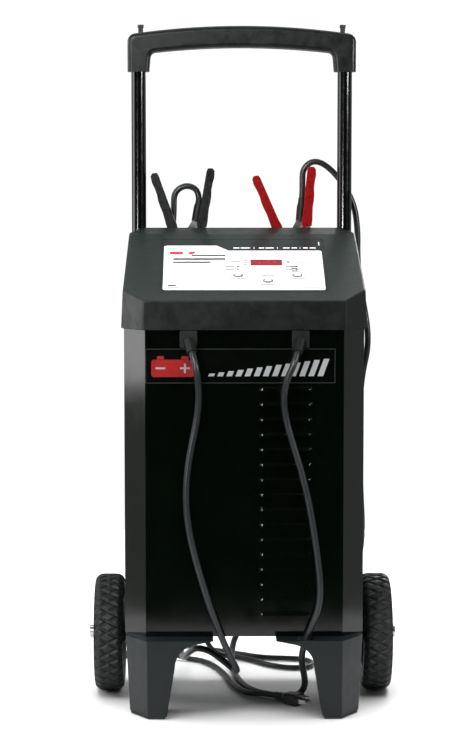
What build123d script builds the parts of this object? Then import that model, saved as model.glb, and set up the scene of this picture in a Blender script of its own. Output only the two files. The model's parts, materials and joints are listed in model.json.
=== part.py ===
"""Wheeled car battery charger: a sheet-metal cabinet on a moulded base with two wheels.

Millimetres. The origin is on the floor, at the middle of the charger's width and depth.
+X is to the right of somebody who faces the control panel, +Y is towards the rear, +Z is up.
"""
from build123d import *
import math
import os

# Overall
DEPTH = 304.0
FRONT = -DEPTH / 2
REAR = DEPTH / 2

# Cabinet, a folded sheet with chamfered corners
PANEL_Y = -118.0
BACK_Y = 122.0
HALF_WIDTH = 173.0
FOLD_X = 31.0
FOLD_Y = 34.0
REAR_FOLD_X = 24.0
REAR_FOLD_Y = 28.0
CABINET_BOTTOM = 113.0
CABINET_TOP = 569.0
SHEET = 1.5
LOUVER_COUNT = 16
LOUVER_PITCH = 21.75
LOUVER_TOP = 470.0
LOUVER_X = 58.5
LOUVER_LENGTH = 76.0
LOUVER_R = 6.0

# Moulded top cap
CAP_BOTTOM = 557.0
CAP_BREAK = 598.0
CAP_SLOPE_TOP = 686.0
CAP_SLOPE_END_Y = 88.0
CAP_TOP = 696.0
CAP_FRONT = -121.5
CAP_BACK = 125.5
CAP_HALF = 177.0
CAP_WALL = 2.8
CAP_DRAFT = 7.0

# Base, feet and axle
BASE_HALF = 171.0
BASE_HALF_LOW = 165.5
FOOT_FACE_HALF = 140.0
FOOT_CHAMFER_Y = 40.0
FOOT_BACK = -90.0
PAD_T = 4.0
DECK_T = 8.0
AXLE_Y = 38.0
WHEEL_R = 87.5
AXLE_R = 6.35
FIT = 0.05
WHEEL_CENTRE = 200.0
TYRE_HALF = 22.0
RIM_R = 60.0

# Handle
TUBE_R = 11.1
TUBE_X = 157.0
TUBE_Y = 135.6
TUBE_BOTTOM = 122.0
TUBE_TOP = 972.0
GRIP_HALF = 173.4
GRIP_DEPTH = 32.8

# Cables
LEAD_D = 9.5
CORD_D = 8.0
BUSHING_X = 80.0
BUSHING_LEAN = 5.0
BUSHING_Z = 543.0
GLAND_X = -60.0
GLAND_Z = 150.0

# Battery clamps, stored with the handles up behind the cap
CLAMP_Y = 137.5
CLAMP_Z = 680.0
CLAMPS = {"black": (-82.0, 4.9), "red": (80.0, 9.1)}

parts = {}


def keep(name, shape):
    """Stores one sub-part, as a single solid or a group of separate solids."""
    solids = list(shape.solids())
    parts[name] = solids[0] if len(solids) == 1 else Compound(children=solids)


def box(x0, x1, y0, y1, z0, z1):
    """A box from its lowest and highest corners."""
    size = (x1 - x0, y1 - y0, z1 - z0)
    return Pos((x0 + x1) / 2, (y0 + y1) / 2, (z0 + z1) / 2) * Box(*size)


def rod(start, end, radius):
    """A round bar between two points."""
    a, b = Vector(*start), Vector(*end)
    plane = Plane(origin=a, z_dir=b - a)
    return extrude(plane * Circle(radius), (b - a).length)


def polygon(points, plane=Plane.XY):
    """A flat face with straight edges through the given points."""
    return plane * make_face(Polyline(*points, close=True))


def eight_sided(half, front, back, fx, fy, bx, by):
    """The plan outline of a box with chamfered corners."""
    return [
        (-half + fx, front), (half - fx, front), (half, front + fy), (half, back - by),
        (half - bx, back), (-half + bx, back), (-half, back - by), (-half, front + fy),
    ]


def cabinet_outline(inset=0.0):
    """The cabinet's plan outline, moved inwards by an even wall."""
    k = 0.42 * inset
    return eight_sided(
        HALF_WIDTH - inset, PANEL_Y + inset, BACK_Y - inset,
        FOLD_X - k, FOLD_Y - k, REAR_FOLD_X - k, REAR_FOLD_Y - k,
    )


def prism(points, z0, z1):
    return extrude(Plane.XY.offset(z0) * polygon(points), z1 - z0)


def between(low, z0, high, z1):
    """A drafted solid between two outlines with the same number of points."""
    lower = Plane.XY.offset(z0) * polygon(low)
    upper = Plane.XY.offset(z1) * polygon(high)
    return loft([lower, upper], ruled=True)


def capsule(radius, length):
    """A round-ended bar along X, centred on the origin."""
    straight = length - 2 * radius
    body = Rot(0, 90, 0) * Cylinder(radius, straight)
    return body + Pos(straight / 2, 0, 0) * Sphere(radius) + Pos(-straight / 2, 0, 0) * Sphere(radius)


def slope_point(x, s, above=0.0):
    """A point on the cap's slope: x across, s up the slope from its front edge."""
    dy, dz = CAP_SLOPE_END_Y - CAP_FRONT, CAP_SLOPE_TOP - CAP_BREAK
    length = math.hypot(dy, dz)
    uy, uz = dy / length, dz / length
    return (x, CAP_FRONT + s * uy - above * uz, CAP_BREAK + s * uz + above * uy)


def slope_plane(x, s, above=0.0):
    """A plane that lies on the cap's slope, with its own Y running up the slope."""
    origin = Vector(*slope_point(x, s, above))
    normal = Vector(*slope_point(x, s, above + 1.0)) - origin
    return Plane(origin=origin, x_dir=(1, 0, 0), z_dir=normal)


# ---------------------------------------------------------------- cabinet


def make_cabinet():
    """Front, corner folds and sides in one folded sheet, with a column of pressed louvers."""
    shell = prism(cabinet_outline(), CABINET_BOTTOM, CABINET_TOP)
    shell -= prism(cabinet_outline(SHEET), CABINET_BOTTOM - 1, CABINET_TOP + 1)
    flange = HALF_WIDTH - REAR_FOLD_X - 14.0
    shell -= box(-flange, flange, BACK_Y - 5, BACK_Y + 1, CABINET_BOTTOM - 1, CABINET_TOP + 1)
    axis_y = PANEL_Y + 2.0
    half = LOUVER_LENGTH / 2 + 2
    upper = box(-half, half, -10, 10, -0.5, 10)
    outer = capsule(LOUVER_R, LOUVER_LENGTH) & upper
    inner = capsule(LOUVER_R - 1.2, LOUVER_LENGTH - 2.4) & upper
    outside = box(-half, half, -10, -1.2, -1, 10)
    hood = (outer - inner) & outside
    for row in range(LOUVER_COUNT):
        place = Pos(LOUVER_X, axis_y, LOUVER_TOP - row * LOUVER_PITCH)
        shell -= place * inner
        shell += place * hood
    for x in (-BUSHING_X, BUSHING_X):
        shell -= Pos(x, PANEL_Y, BUSHING_Z) * Rot(90, 0, 0) * Cylinder(8.2, 8)
    for x, _, z in rear_screw_places() + cap_screw_places():
        shell -= Pos(x, BACK_Y, z) * Rot(90, 0, 0) * Cylinder(1.7, 8)
    keep("cabinet", shell)


def rear_screw_places():
    """Where screws hold the rear panel to the cabinet's rear flanges."""
    x = HALF_WIDTH - REAR_FOLD_X - 7.0
    return [(side * x, BACK_Y, z) for side in (-1, 1) for z in (170.0, 330.0, 490.0)]


def cap_screw_places():
    """Where screws hold the cap's rear skirt to the cabinet's rear flanges."""
    return [(side * 141.0, CAP_BACK, 563.0) for side in (-1, 1)]


def holder_screw_places():
    """Where screws hold the clamp holder to the cap's rear wall."""
    return [(x, CAP_BACK + 3.2, 606.0) for x in (-105.0, 0.0, 105.0)]


def make_rear_panel():
    """The removable rear panel, with a fan grille, a slotted vent and holes for the cord and breaker."""
    half = HALF_WIDTH - REAR_FOLD_X - 1.5
    y0 = BACK_Y + 0.1
    panel = box(-half, half, y0, y0 + SHEET, CABINET_BOTTOM + 1, CAP_BOTTOM - 2)
    for ring in range(3):
        r = 14.0 + 14.0 * ring
        slot = Circle(r + 4.0) - Circle(r - 4.0)
        cut = extrude(Plane.XZ.offset(-y0 + 2) * slot, -6)
        spokes = Box(3 * r + 20, 8, 6) + Box(6, 8, 3 * r + 20)
        cut -= Pos(0, y0 + 1, 0) * spokes
        panel -= Pos(40, 0, 400) * cut
    for i in range(9):
        for x in (-75.0, 75.0):
            slot = extrude(Plane.XZ.offset(-y0 + 2) * SlotOverall(70, 5), -6)
            panel -= Pos(x, 0, 210 + 11 * i) * slot
    panel -= Pos(GLAND_X, y0, GLAND_Z) * Rot(90, 0, 0) * Cylinder(9.2, 8)
    panel -= Pos(60, y0, GLAND_Z) * Rot(90, 0, 0) * Cylinder(6.2, 8)
    for x, _, z in rear_screw_places():
        panel -= Pos(x, y0, z) * Rot(90, 0, 0) * Cylinder(1.7, 8)
    keep("rear_panel", panel)


def make_screws():
    """Pan-head screws of the rear panel, of the cap's rear skirt and of the clamp holder."""
    places = [(x, BACK_Y + SHEET + 0.1, z) for x, _, z in rear_screw_places()]
    places += cap_screw_places() + holder_screw_places()
    screws = []
    for x, y, z in places:
        screws.append(rod((x, y - 9, z), (x, y + 0.1, z), 1.6) + rod((x, y + 0.05, z), (x, y + 2.3, z), 3.6))
    keep("case_screws", Compound(children=screws))


# ---------------------------------------------------------------- top cap


def cap_body(inset=0.0):
    """The cap's outer form, or its inner space when inset by the wall."""
    half, k = CAP_HALF - inset, 0.42 * inset
    low = eight_sided(
        half, CAP_FRONT + inset, CAP_BACK - inset,
        FOLD_X + 1.3 - k, FOLD_Y - k, REAR_FOLD_X + 1.3 - k, REAR_FOLD_Y - k,
    )
    d = CAP_DRAFT
    high = eight_sided(
        half - d, CAP_FRONT + inset, CAP_BACK - inset,
        FOLD_X + 1.3 - k - 0.5 * d, FOLD_Y - k - 0.5 * d, REAR_FOLD_X - k - 0.4 * d, REAR_FOLD_Y - k,
    )
    plan = between(low, CAP_BOTTOM - (1.0 if inset else 0.0), high, CAP_TOP + 10)
    low_z = CAP_BOTTOM - (1.0 if inset else 0.0)
    run = CAP_SLOPE_END_Y - CAP_FRONT
    drop = inset * math.hypot(run, CAP_SLOPE_TOP - CAP_BREAK) / run
    side = [
        (CAP_FRONT - 1, low_z), (CAP_FRONT - 1, CAP_BREAK - 0.42 - drop), (CAP_FRONT, CAP_BREAK - drop),
        (CAP_SLOPE_END_Y, CAP_SLOPE_TOP - drop), (CAP_BACK + 1, CAP_TOP - drop), (CAP_BACK + 1, low_z),
    ]
    return plan & extrude(Plane.YZ * polygon(side), 2 * CAP_HALF, both=True)


def make_top_cap():
    """The hollow moulded lid, with a sloping face that holds the control label."""
    cap = cap_body()
    sharp = [e for e in cap.edges() if e.center().Z > CAP_BOTTOM + 1]
    try:
        cap = fillet(sharp, 3.0)
    except ValueError:
        cap = fillet([e for e in sharp if abs(e.center().X) < 1], 3.0)
    cap -= cap_body(CAP_WALL)
    cap -= extrude(slope_plane(0, 119, -1.0) * RectangleRounded(242, 180, 6), 3)
    cap -= extrude(slope_plane(34, 127, -6.0) * Rectangle(54, 26), 8)
    for x, s in button_places():
        cap -= extrude(slope_plane(x, s, -8.0) * Circle(5.2), 9)
    for x, s in light_places():
        cap -= extrude(slope_plane(x, s, -8.0) * Circle(2.3), 9)
    for x, y, z in cap_screw_places() + holder_screw_places():
        cap -= rod((x, CAP_BACK - 6, z), (x, CAP_BACK + 1, z), 1.7)
    keep("top_cap", cap)


def button_places():
    """Places on the slope of the three push buttons: battery type, display and charge rate."""
    return [(-8.0, 84.0), (35.0, 66.0), (78.0, 84.0)]


def light_places():
    """Places on the slope of the indicator lights."""
    rows = [(x, 104.0 + 9.0 * i) for x in (-8.0, 78.0) for i in range(2)]
    return [(66.0, 128.5)] + rows


def make_controls():
    """Label, display window, display, circuit board, push buttons and indicator lights."""
    label = extrude(slope_plane(0, 119, -0.9) * RectangleRounded(241, 179, 5.5), 0.8)
    label -= extrude(slope_plane(34, 127, -3.0) * Rectangle(46.6, 20.6), 8)
    for x, s in button_places():
        label -= extrude(slope_plane(x, s, -3.0) * Circle(5.0), 8)
    for x, s in light_places():
        label -= extrude(slope_plane(x, s, -3.0) * Circle(2.2), 8)
    keep("control_label", label)

    window = extrude(slope_plane(34, 127, -3.3) * RectangleRounded(52, 25, 1), 2.3)
    window += extrude(slope_plane(34, 127, -1.2) * Rectangle(46, 20), 1.2)
    keep("display_window", window)

    board_face = -17.0
    board = extrude(slope_plane(20, 100, board_face - 1.6) * RectangleRounded(170, 110, 3), 1.6)
    for x, s in button_places():
        board += extrude(slope_plane(x, s, board_face) * Rectangle(6, 6), 3.2)
    for x, s, w, h, t in [(-40, 120, 22, 12, 3), (-35, 80, 14, 14, 2.5), (85, 130, 16, 10, 8)]:
        board += extrude(slope_plane(x, s, board_face) * Rectangle(w, h), t)
    board += extrude(slope_plane(34, 127, board_face) * Rectangle(50, 22), 13)
    for x in (-58.0, 98.0):
        for s in (52.0, 148.0):
            board -= extrude(slope_plane(x, s, board_face - 3) * Circle(1.8), 8)
    keep("control_board", board)

    for name, (x, s) in zip(("battery_type", "display_mode", "charge_rate"), button_places()):
        cap = extrude(slope_plane(x, s, -6.5) * Circle(4.7), 7.7)
        stem = extrude(slope_plane(x, s, board_face + 4.3) * Circle(1.8), 12.7 - 4.3 - 1.9)
        flange = extrude(slope_plane(x, s, -6.5) * Circle(6.4), 1.6)
        keep(name + "_button", cap + stem + flange)

    lights = []
    for x, s in light_places():
        body = extrude(slope_plane(x, s, board_face + 0.1) * Circle(1.9), 16.3)
        top = Location(slope_plane(x, s, board_face + 16.4)) * Sphere(1.9)
        lights.append(body + (top & extrude(slope_plane(x, s, board_face + 16.4) * Circle(3), 3)))
    keep("indicator_lights", Compound(children=lights))

    plate = box(-143 + 1, 130, PANEL_Y - 0.7, PANEL_Y - 0.1, 479.5, 530)
    keep("front_nameplate", plate)


# ---------------------------------------------------------------- base


def arch_cutter(y0, y1, grow=0.0):
    """The opening between the feet, as seen from the front."""
    g = grow
    with BuildLine() as line:
        Line((-112.5 - g, -1), (-100 - g, 74))
        ThreePointArc((-100 - g, 74), (-92 - g, 96), (-75 - g, 107))
        Line((-75 - g, 107), (-30, 116))
        Line((-30, 116), (30, 116))
        Line((30, 116), (75 + g, 107))
        ThreePointArc((75 + g, 107), (92 + g, 96), (100 + g, 74))
        Line((100 + g, 74), (112.5 + g, -1))
        Line((112.5 + g, -1), (-112.5 - g, -1))
    face = make_face(line.line)
    return Pos(0, y1, 0) * extrude(Plane.XZ * face, y1 - y0)


def side_cutter():
    """What is open between the front feet and the floor behind them, as seen from the side."""
    with BuildLine() as line:
        Line((FOOT_BACK, -1), (FOOT_BACK + 6, 56))
        ThreePointArc((FOOT_BACK + 6, 56), (FOOT_BACK + 16, 76), (FOOT_BACK + 36, 84))
        Line((FOOT_BACK + 36, 84), (AXLE_Y - 44, 84))
        ThreePointArc((AXLE_Y - 44, 84), (AXLE_Y - 28, 77), (AXLE_Y - 21, 64))
        Line((AXLE_Y - 21, 64), (AXLE_Y + 21, 64))
        ThreePointArc((AXLE_Y + 21, 64), (AXLE_Y + 28, 77), (AXLE_Y + 44, 84))
        Line((AXLE_Y + 44, 84), (BACK_Y + 5, 84))
        Line((BACK_Y + 5, 84), (BACK_Y + 5, -1))
        Line((BACK_Y + 5, -1), (FOOT_BACK, -1))
    return extrude(Plane.YZ * make_face(line.line), 200, both=True)


def foot_outline(side, inset):
    """The plan outline of a foot at the floor."""
    x0, x1 = 113.0 + inset, BASE_HALF_LOW - inset
    y0, y1 = FRONT + inset, FOOT_BACK - inset
    points = [(x0, y0), (FOOT_FACE_HALF - 1 - 0.4 * inset, y0), (x1, FRONT + FOOT_CHAMFER_Y + 0.4 * inset)]
    points += [(x1, y1), (x0, y1)]
    return [(side * x, y) for x, y in points]


def make_base():
    """The moulded base: two hollow front feet, side skirts with axle bosses, and a deck inside the cabinet."""
    high = eight_sided(BASE_HALF, FRONT, BACK_Y, FOLD_X, FOOT_CHAMFER_Y, REAR_FOLD_X, REAR_FOLD_Y)
    low = eight_sided(
        BASE_HALF_LOW, FRONT, BACK_Y - 3, BASE_HALF_LOW - FOOT_FACE_HALF + 1,
        FOOT_CHAMFER_Y, REAR_FOLD_X, REAR_FOLD_Y,
    )
    body = between(low, PAD_T, high, CABINET_BOTTOM)
    body -= box(-156, 156, FOOT_BACK + 5, BACK_Y - 10, 0, CABINET_BOTTOM + 1)
    body -= arch_cutter(FRONT - 5, FOOT_BACK + 12)
    body -= side_cutter()
    body -= box(-150, 150, BACK_Y - 12, BACK_Y + 1, 0, 96)
    for side in (-1, 1):
        body -= prism(foot_outline(side, 5.0), 0, 98)
    body -= box(76, 99, FRONT + 8, PANEL_Y - 0.2, 84, CABINET_BOTTOM + 1)
    deck = prism(cabinet_outline(SHEET + 0.4), CABINET_BOTTOM - 0.5, CABINET_BOTTOM + DECK_T)
    deck -= box(-200, 200, -200, PANEL_Y + SHEET + 1.0, 0, 300)
    deck -= prism(cabinet_outline(SHEET + 8), CABINET_BOTTOM - 1, CABINET_BOTTOM + 0.4)
    body += deck
    for i in range(6):
        x = -125 + 50 * i
        body -= Pos(x, 40, CABINET_BOTTOM) * extrude(SlotOverall(90, 7, rotation=90), 30, both=True)
    for side in (-1, 1):
        boss = rod((side * 148, AXLE_Y, WHEEL_R), (side * 174.5, AXLE_Y, WHEEL_R), 17)
        web = box(*sorted((side * 150, side * 166)), AXLE_Y - 4, AXLE_Y + 4, WHEEL_R, CABINET_BOTTOM + 2)
        body += boss + web
        body -= rod((side * 140, AXLE_Y, WHEEL_R), (side * 180, AXLE_Y, WHEEL_R), AXLE_R + FIT)
    keep("base", body)

    pads = []
    for side in (-1, 1):
        pad = prism(foot_outline(side, 1.2), 0, PAD_T - 0.05) + prism(foot_outline(side, 5.6), 0, PAD_T + 10)
        pads.append(pad)
    keep("foot_pads", Compound(children=pads))


# ---------------------------------------------------------------- wheels


def make_wheel(side, name):
    """A spoked plastic hub with a solid rubber tyre; it turns on the axle."""
    centre = Pos(side * WHEEL_CENTRE, AXLE_Y, WHEEL_R) * Rot(0, 90, 0)
    hub = Cylinder(RIM_R, 2 * TYRE_HALF - 6) - Cylinder(RIM_R - 5, 2 * TYRE_HALF)
    hub += Cylinder(RIM_R - 3, 6)
    hub += Cylinder(16, 2 * TYRE_HALF + 3)
    for i in range(5):
        spoke = Pos((12 + RIM_R - 3) / 2, 0, 0) * Box(RIM_R - 15, 7, 2 * TYRE_HALF - 12)
        hub += Rot(0, 0, 72 * i) * spoke
        window = Pos(36, 0, 0) * Cylinder(9.5, 20)
        hub -= Rot(0, 0, 72 * i + 36) * window
    hub -= Cylinder(AXLE_R + FIT, 80)
    keep(name + "_hub", centre * hub)

    profile = [
        (RIM_R + 0.1, -TYRE_HALF + 2), (WHEEL_R - 9, -TYRE_HALF), (WHEEL_R - 2, -TYRE_HALF + 5),
        (WHEEL_R, -TYRE_HALF + 12), (WHEEL_R, TYRE_HALF - 12), (WHEEL_R - 2, TYRE_HALF - 5),
        (WHEEL_R - 9, TYRE_HALF), (RIM_R + 0.1, TYRE_HALF - 2),
    ]
    tyre = revolve(polygon(profile, Plane.XZ), Axis.Z)
    keep(name + "_tyre", centre * tyre)


def make_axle():
    """The steel axle with its washers and the push-on caps that hold the wheels."""
    end = WHEEL_CENTRE + TYRE_HALF + 6.0
    at = (AXLE_Y, WHEEL_R)
    keep("axle", rod((-end, *at), (end, *at), AXLE_R))
    rings, caps = [], []
    for side in (-1, 1):
        for x0 in (174.7, 223.8):
            ring = rod((side * x0, *at), (side * (x0 + 1.4), *at), 13)
            ring -= rod((side * (x0 - 1), *at), (side * (x0 + 3), *at), AXLE_R + FIT)
            rings.append(ring)
        x0 = 225.4
        cap = rod((side * x0, *at), (side * (x0 + 5), *at), 10)
        cap += Pos(side * (x0 + 4.9), AXLE_Y, WHEEL_R) * Rot(0, side * 90, 0) * Cone(10, 6, 1.6)
        cap -= rod((side * (x0 - 1), *at), (side * (end + 0.05), *at), AXLE_R + FIT)
        caps.append(cap)
    keep("axle_caps", Compound(children=caps))
    keep("wheel_washers", Compound(children=rings))


# ---------------------------------------------------------------- handle


def make_handle():
    """Two steel tubes behind the cabinet, joined at the top by an arched moulded grip."""
    tubes = []
    for side in (-1, 1):
        x = side * TUBE_X
        tube = rod((x, TUBE_Y, TUBE_BOTTOM), (x, TUBE_Y, TUBE_TOP), TUBE_R)
        tube -= rod((x, TUBE_Y, TUBE_BOTTOM - 1), (x, TUBE_Y, TUBE_TOP + 1), TUBE_R - 1.4)
        for z in (958.0, *BRACKET_Z):
            tube -= rod((x, TUBE_Y, z), (x, TUBE_Y + 20, z), 2.1)
            tube -= rod((x, TUBE_Y - 20, z), (x, TUBE_Y, z), 2.1)
        tubes.append(tube)
    keep("handle_tubes", Compound(children=tubes))

    with BuildLine() as line:
        ThreePointArc((-GRIP_HALF, 987), (0, 1000), (GRIP_HALF, 987))
        Line((GRIP_HALF, 987), (GRIP_HALF, 931))
        Line((GRIP_HALF, 931), (140.5, 931))
        Line((140.5, 931), (138, 959))
        ThreePointArc((138, 959), (0, 967), (-138, 959))
        Line((-138, 959), (-140.5, 931))
        Line((-140.5, 931), (-GRIP_HALF, 931))
        Line((-GRIP_HALF, 931), (-GRIP_HALF, 987))
    face = make_face(line.line)
    face = fillet([v for v in face.vertices() if v.Y > 980], 13)
    face = fillet([v for v in face.vertices() if 955 < v.Y < 962 and abs(v.X) < 139], 8)
    grip = Pos(0, REAR, 0) * extrude(Plane.XZ * face, GRIP_DEPTH)
    middle = REAR - GRIP_DEPTH / 2
    rim = [e for e in grip.edges() if abs(abs(e.center().Y - middle) - GRIP_DEPTH / 2) < 0.5]
    grip = fillet([e for e in rim if e.center().Z > 935], 7.0)
    for side in (-1, 1):
        x = side * TUBE_X
        grip -= rod((x, TUBE_Y, 900), (x, TUBE_Y, TUBE_TOP + 0.5), TUBE_R + 0.1)
        grip -= rod((x, TUBE_Y, 958), (x, REAR + 1, 958), 2.1)
        grip -= rod((x, REAR - 3, 958), (x, REAR + 1, 958), 4.4)
        peg = rod((side * 153.5, TUBE_Y, 980), (side * 153.5, TUBE_Y, 1000.5), 3.8)
        peg += Pos(side * 153.5, TUBE_Y, 999.5) * Cylinder(4.6, 5)
        grip += peg
    keep("handle_grip", grip)


BRACKET_Z = (190.0, 520.0)
TRANSFORMER_Y = -22.0


def hex_bolt(seat, axis, shank):
    """A hexagon-head bolt whose head sits on the given point."""
    plane = Plane(origin=seat, z_dir=axis)
    head = extrude(plane.offset(0.02) * RegularPolygon(4.6, 6), 3.4)
    return head + extrude(plane.offset(0.1) * Circle(2.5), -shank)


def make_brackets():
    """Brackets that hold the handle tubes to the rear panel, with the screws of tubes and grip."""
    group, bolts, screws = [], [], []
    y0 = BACK_Y + SHEET + 0.2
    for z in BRACKET_Z:
        for side in (-1, 1):
            x, bolt_x = side * TUBE_X, side * 116.0
            block = box(*sorted((side * 104.0, side * 171.0)), y0, y0 + 5, z - 14, z + 14)
            ring = Pos(x, TUBE_Y, z) * Cylinder(15, 28)
            block += ring & box(-200, 200, y0, 200, 0, 700)
            block -= rod((x, TUBE_Y, z - 20), (x, TUBE_Y, z + 20), TUBE_R + 0.05)
            block -= rod((bolt_x, y0 - 1, z), (bolt_x, y0 + 9, z), 2.6)
            block -= rod((x, TUBE_Y, z), (x, TUBE_Y + 20, z), 2.1)
            group.append(block)
            bolts.append(hex_bolt((bolt_x, y0 + 5, z), (0, 1, 0), 4.8))
            screws.append(
                rod((x, TUBE_Y + 6, z), (x, TUBE_Y + 15.1, z), 1.9)
                + rod((x, TUBE_Y + 15.05, z), (x, TUBE_Y + 16.2, z), 3.9)
            )
    for side in (-1, 1):
        x = side * TUBE_X
        head = REAR - 2.9
        screws.append(rod((x, TUBE_Y + 6, 958), (x, head, 958), 1.9) + rod((x, head, 958), (x, head + 2, 958), 3.9))
    keep("tube_brackets", Compound(children=group))
    keep("tube_screws", Compound(children=screws))
    floor = CABINET_BOTTOM + DECK_T + 0.1
    for sx in (-1, 1):
        for sy in (-1, 1):
            foot = (sx * 76, TRANSFORMER_Y + sy * 24, floor + 2.8)
            bolts.append(hex_bolt(foot, (0, 0, 1), 2.6))
    keep("mounting_bolts", Compound(children=bolts))
    plugs = [
        Pos(side * TUBE_X, TUBE_Y, TUBE_BOTTOM - 2.05) * Cylinder(TUBE_R, 4)
        + Pos(side * TUBE_X, TUBE_Y, TUBE_BOTTOM + 4) * Cylinder(TUBE_R - 1.5, 8.2)
        for side in (-1, 1)
    ]
    keep("tube_end_plugs", Compound(children=plugs))


# ---------------------------------------------------------------- inside the cabinet


def make_internals():
    """Transformer, rectifier, fan and circuit breaker."""
    floor = CABINET_BOTTOM + DECK_T + 0.1
    cx, cy = 0.0, TRANSFORMER_Y
    core = box(cx - 66, cx + 66, cy - 34, cy + 34, floor + 3, floor + 113)
    for x in (cx - 27, cx + 27):
        core -= box(x - 15, x + 15, cy - 40, cy + 40, floor + 25, floor + 91)
    keep("transformer_core", core)

    winding = box(cx - 40, cx + 40, cy - 58, cy + 58, floor + 27, floor + 89)
    winding = fillet(winding.edges().filter_by(Axis.Z), 14)
    winding -= box(cx - 12.4, cx + 12.4, cy - 34.2, cy + 34.2, floor + 20, floor + 100)
    keep("transformer_winding", winding)

    frame = box(cx - 82, cx + 82, cy - 33, cy + 33, floor, floor + 2.8)
    for side in (-1, 1):
        frame += box(*sorted((cx + side * 66.2, cx + side * 69)), cy - 33, cy + 33, floor, floor + 60)
        for y in (cy - 24, cy + 24):
            frame -= rod((cx + side * 76, y, floor - 1), (cx + side * 76, y, floor + 5), 2.8)
    keep("transformer_bracket", frame)

    sink = box(-70, 70, 56, 60, 330, 450)
    for i in range(15):
        x = -66.5 + 9.5 * i
        sink += box(x - 1.1, x + 1.1, 59, 86, 330, 450)
    for x in (-55, 55):
        sink += box(x - 8, x + 8, 46, 60, 318, 332)
    keep("rectifier_heat_sink", sink)

    posts = box(-66, 66, 42, 62, 310, 317.9) + box(-66, 66, 42, 45, floor, 317)
    posts += box(-66, 66, 42, 70, floor, floor + 4)
    keep("rectifier_stand", posts)

    diodes = [
        rod((x, 55.9, z), (x, 49, z), 9) + rod((x, 49, z), (x, 42, z), 3.2)
        for x in (-42.0, 0.0, 42.0) for z in (365.0, 415.0)
    ]
    keep("rectifier_diodes", Compound(children=diodes))

    fx, fz, y0 = 40.0, 400.0, BACK_Y - 27.0
    frame = box(fx - 46, fx + 46, y0, y0 + 25, fz - 46, fz + 46)
    frame -= rod((fx, y0 - 1, fz), (fx, y0 + 26, fz), 43.5)
    frame += rod((fx, y0, fz), (fx, y0 + 3, fz), 18)
    for i in range(4):
        arm = Pos(fx, 0, fz) * Rot(0, 45 + 90 * i, 0) * box(16, 52, y0, y0 + 3, -2, 2)
        frame += arm & box(fx - 46, fx + 46, y0, y0 + 25, fz - 46, fz + 46)
    frame -= rod((fx, y0 - 1, fz), (fx, y0 + 4, fz), 2.55)
    for sx in (-1, 1):
        for sz in (-1, 1):
            corner = (fx + sx * 40.5, fz + sz * 40.5)
            frame -= rod((corner[0], y0 - 1, corner[1]), (corner[0], y0 + 26, corner[1]), 2.2)
    keep("fan_frame", frame)

    rotor = rod((fx, y0 + 4, fz), (fx, y0 + 23, fz), 17.5) + rod((fx, y0 + 0.5, fz), (fx, y0 + 5, fz), 2.5)
    for i in range(7):
        blade = Pos(29, 0, 0) * Rot(38, 0, 0) * Box(26, 1.8, 23)
        blade &= rod((0, -9, 0), (0, 9, 0), 41.5)
        rotor += Pos(fx, y0 + 13.5, fz) * Rot(0, 360 / 7 * i, 0) * blade
    keep("fan_rotor", rotor)

    y = BACK_Y + 0.1
    breaker = rod((60, y + SHEET + 0.1, GLAND_Z), (60, y + SHEET + 3.5, GLAND_Z), 9)
    breaker += rod((60, y - 0.2, GLAND_Z), (60, y + SHEET + 0.2, GLAND_Z), 5.9)
    breaker += box(60 - 11, 60 + 11, y - 34, y - 0.2, GLAND_Z - 8, GLAND_Z + 16)
    breaker += rod((60, y + SHEET + 3.4, GLAND_Z), (60, y + SHEET + 6, GLAND_Z), 4)
    keep("circuit_breaker", breaker)


# ---------------------------------------------------------------- clamps and their holder


def clamp_frame(name):
    """The clamp's own frame: X across the clamp, Z up along its handles, origin on its pivot."""
    x, tilt = CLAMPS[name]
    return Pos(x, CLAMP_Y, CLAMP_Z) * Rot(0, -tilt, 0)


HANDLE_TIP = (43.0, 98.0)
HANDLE_FOOT = (23.5, 17.0)


def half_outline(web=0.0):
    """One half of a clamp, for the side at +X, as points across and along it."""
    return [
        (-6.5, -7.0), (1.9, -20.0), (1.9, -58.0), (7.0, -60.0), (16.0 - web, -42.0), (22.0 - web, -12.0),
        (27.0 - web, 10.0), (31.0 - web, 22.0), (47.5 - web, 97.0), (39.5, 99.0), (17.5, 19.0), (9.0, 10.5), (-6.5, 7.5),
    ]


def clamp_half(side, width, gauge):
    """A pressed steel channel, open towards the other half, with round ears for the pivot pin."""
    solid = extrude(Plane.XZ * polygon(half_outline()), width / 2, both=True)
    solid += Rot(90, 0, 0) * Cylinder(10.5, width)
    g = gauge
    hollow = [(-20.0, -61.0), (-20.0, 120.0), (60.0, 120.0), (47.5 - g, 101.0), (31.0 - g, 22.0), (27.0 - g, 10.0)]
    hollow += [(22.0 - g, -12.0), (15.6 - g, -41.0), (6.4 - g, -58.4), (4.0, -61.0)]
    solid -= extrude(Plane.XZ * polygon(hollow), width / 2 - gauge, both=True)
    solid -= Rot(90, 0, 0) * Cylinder(3.0 + FIT, 2 * width)
    return solid if side > 0 else mirror(solid, Plane.YZ)


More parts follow.
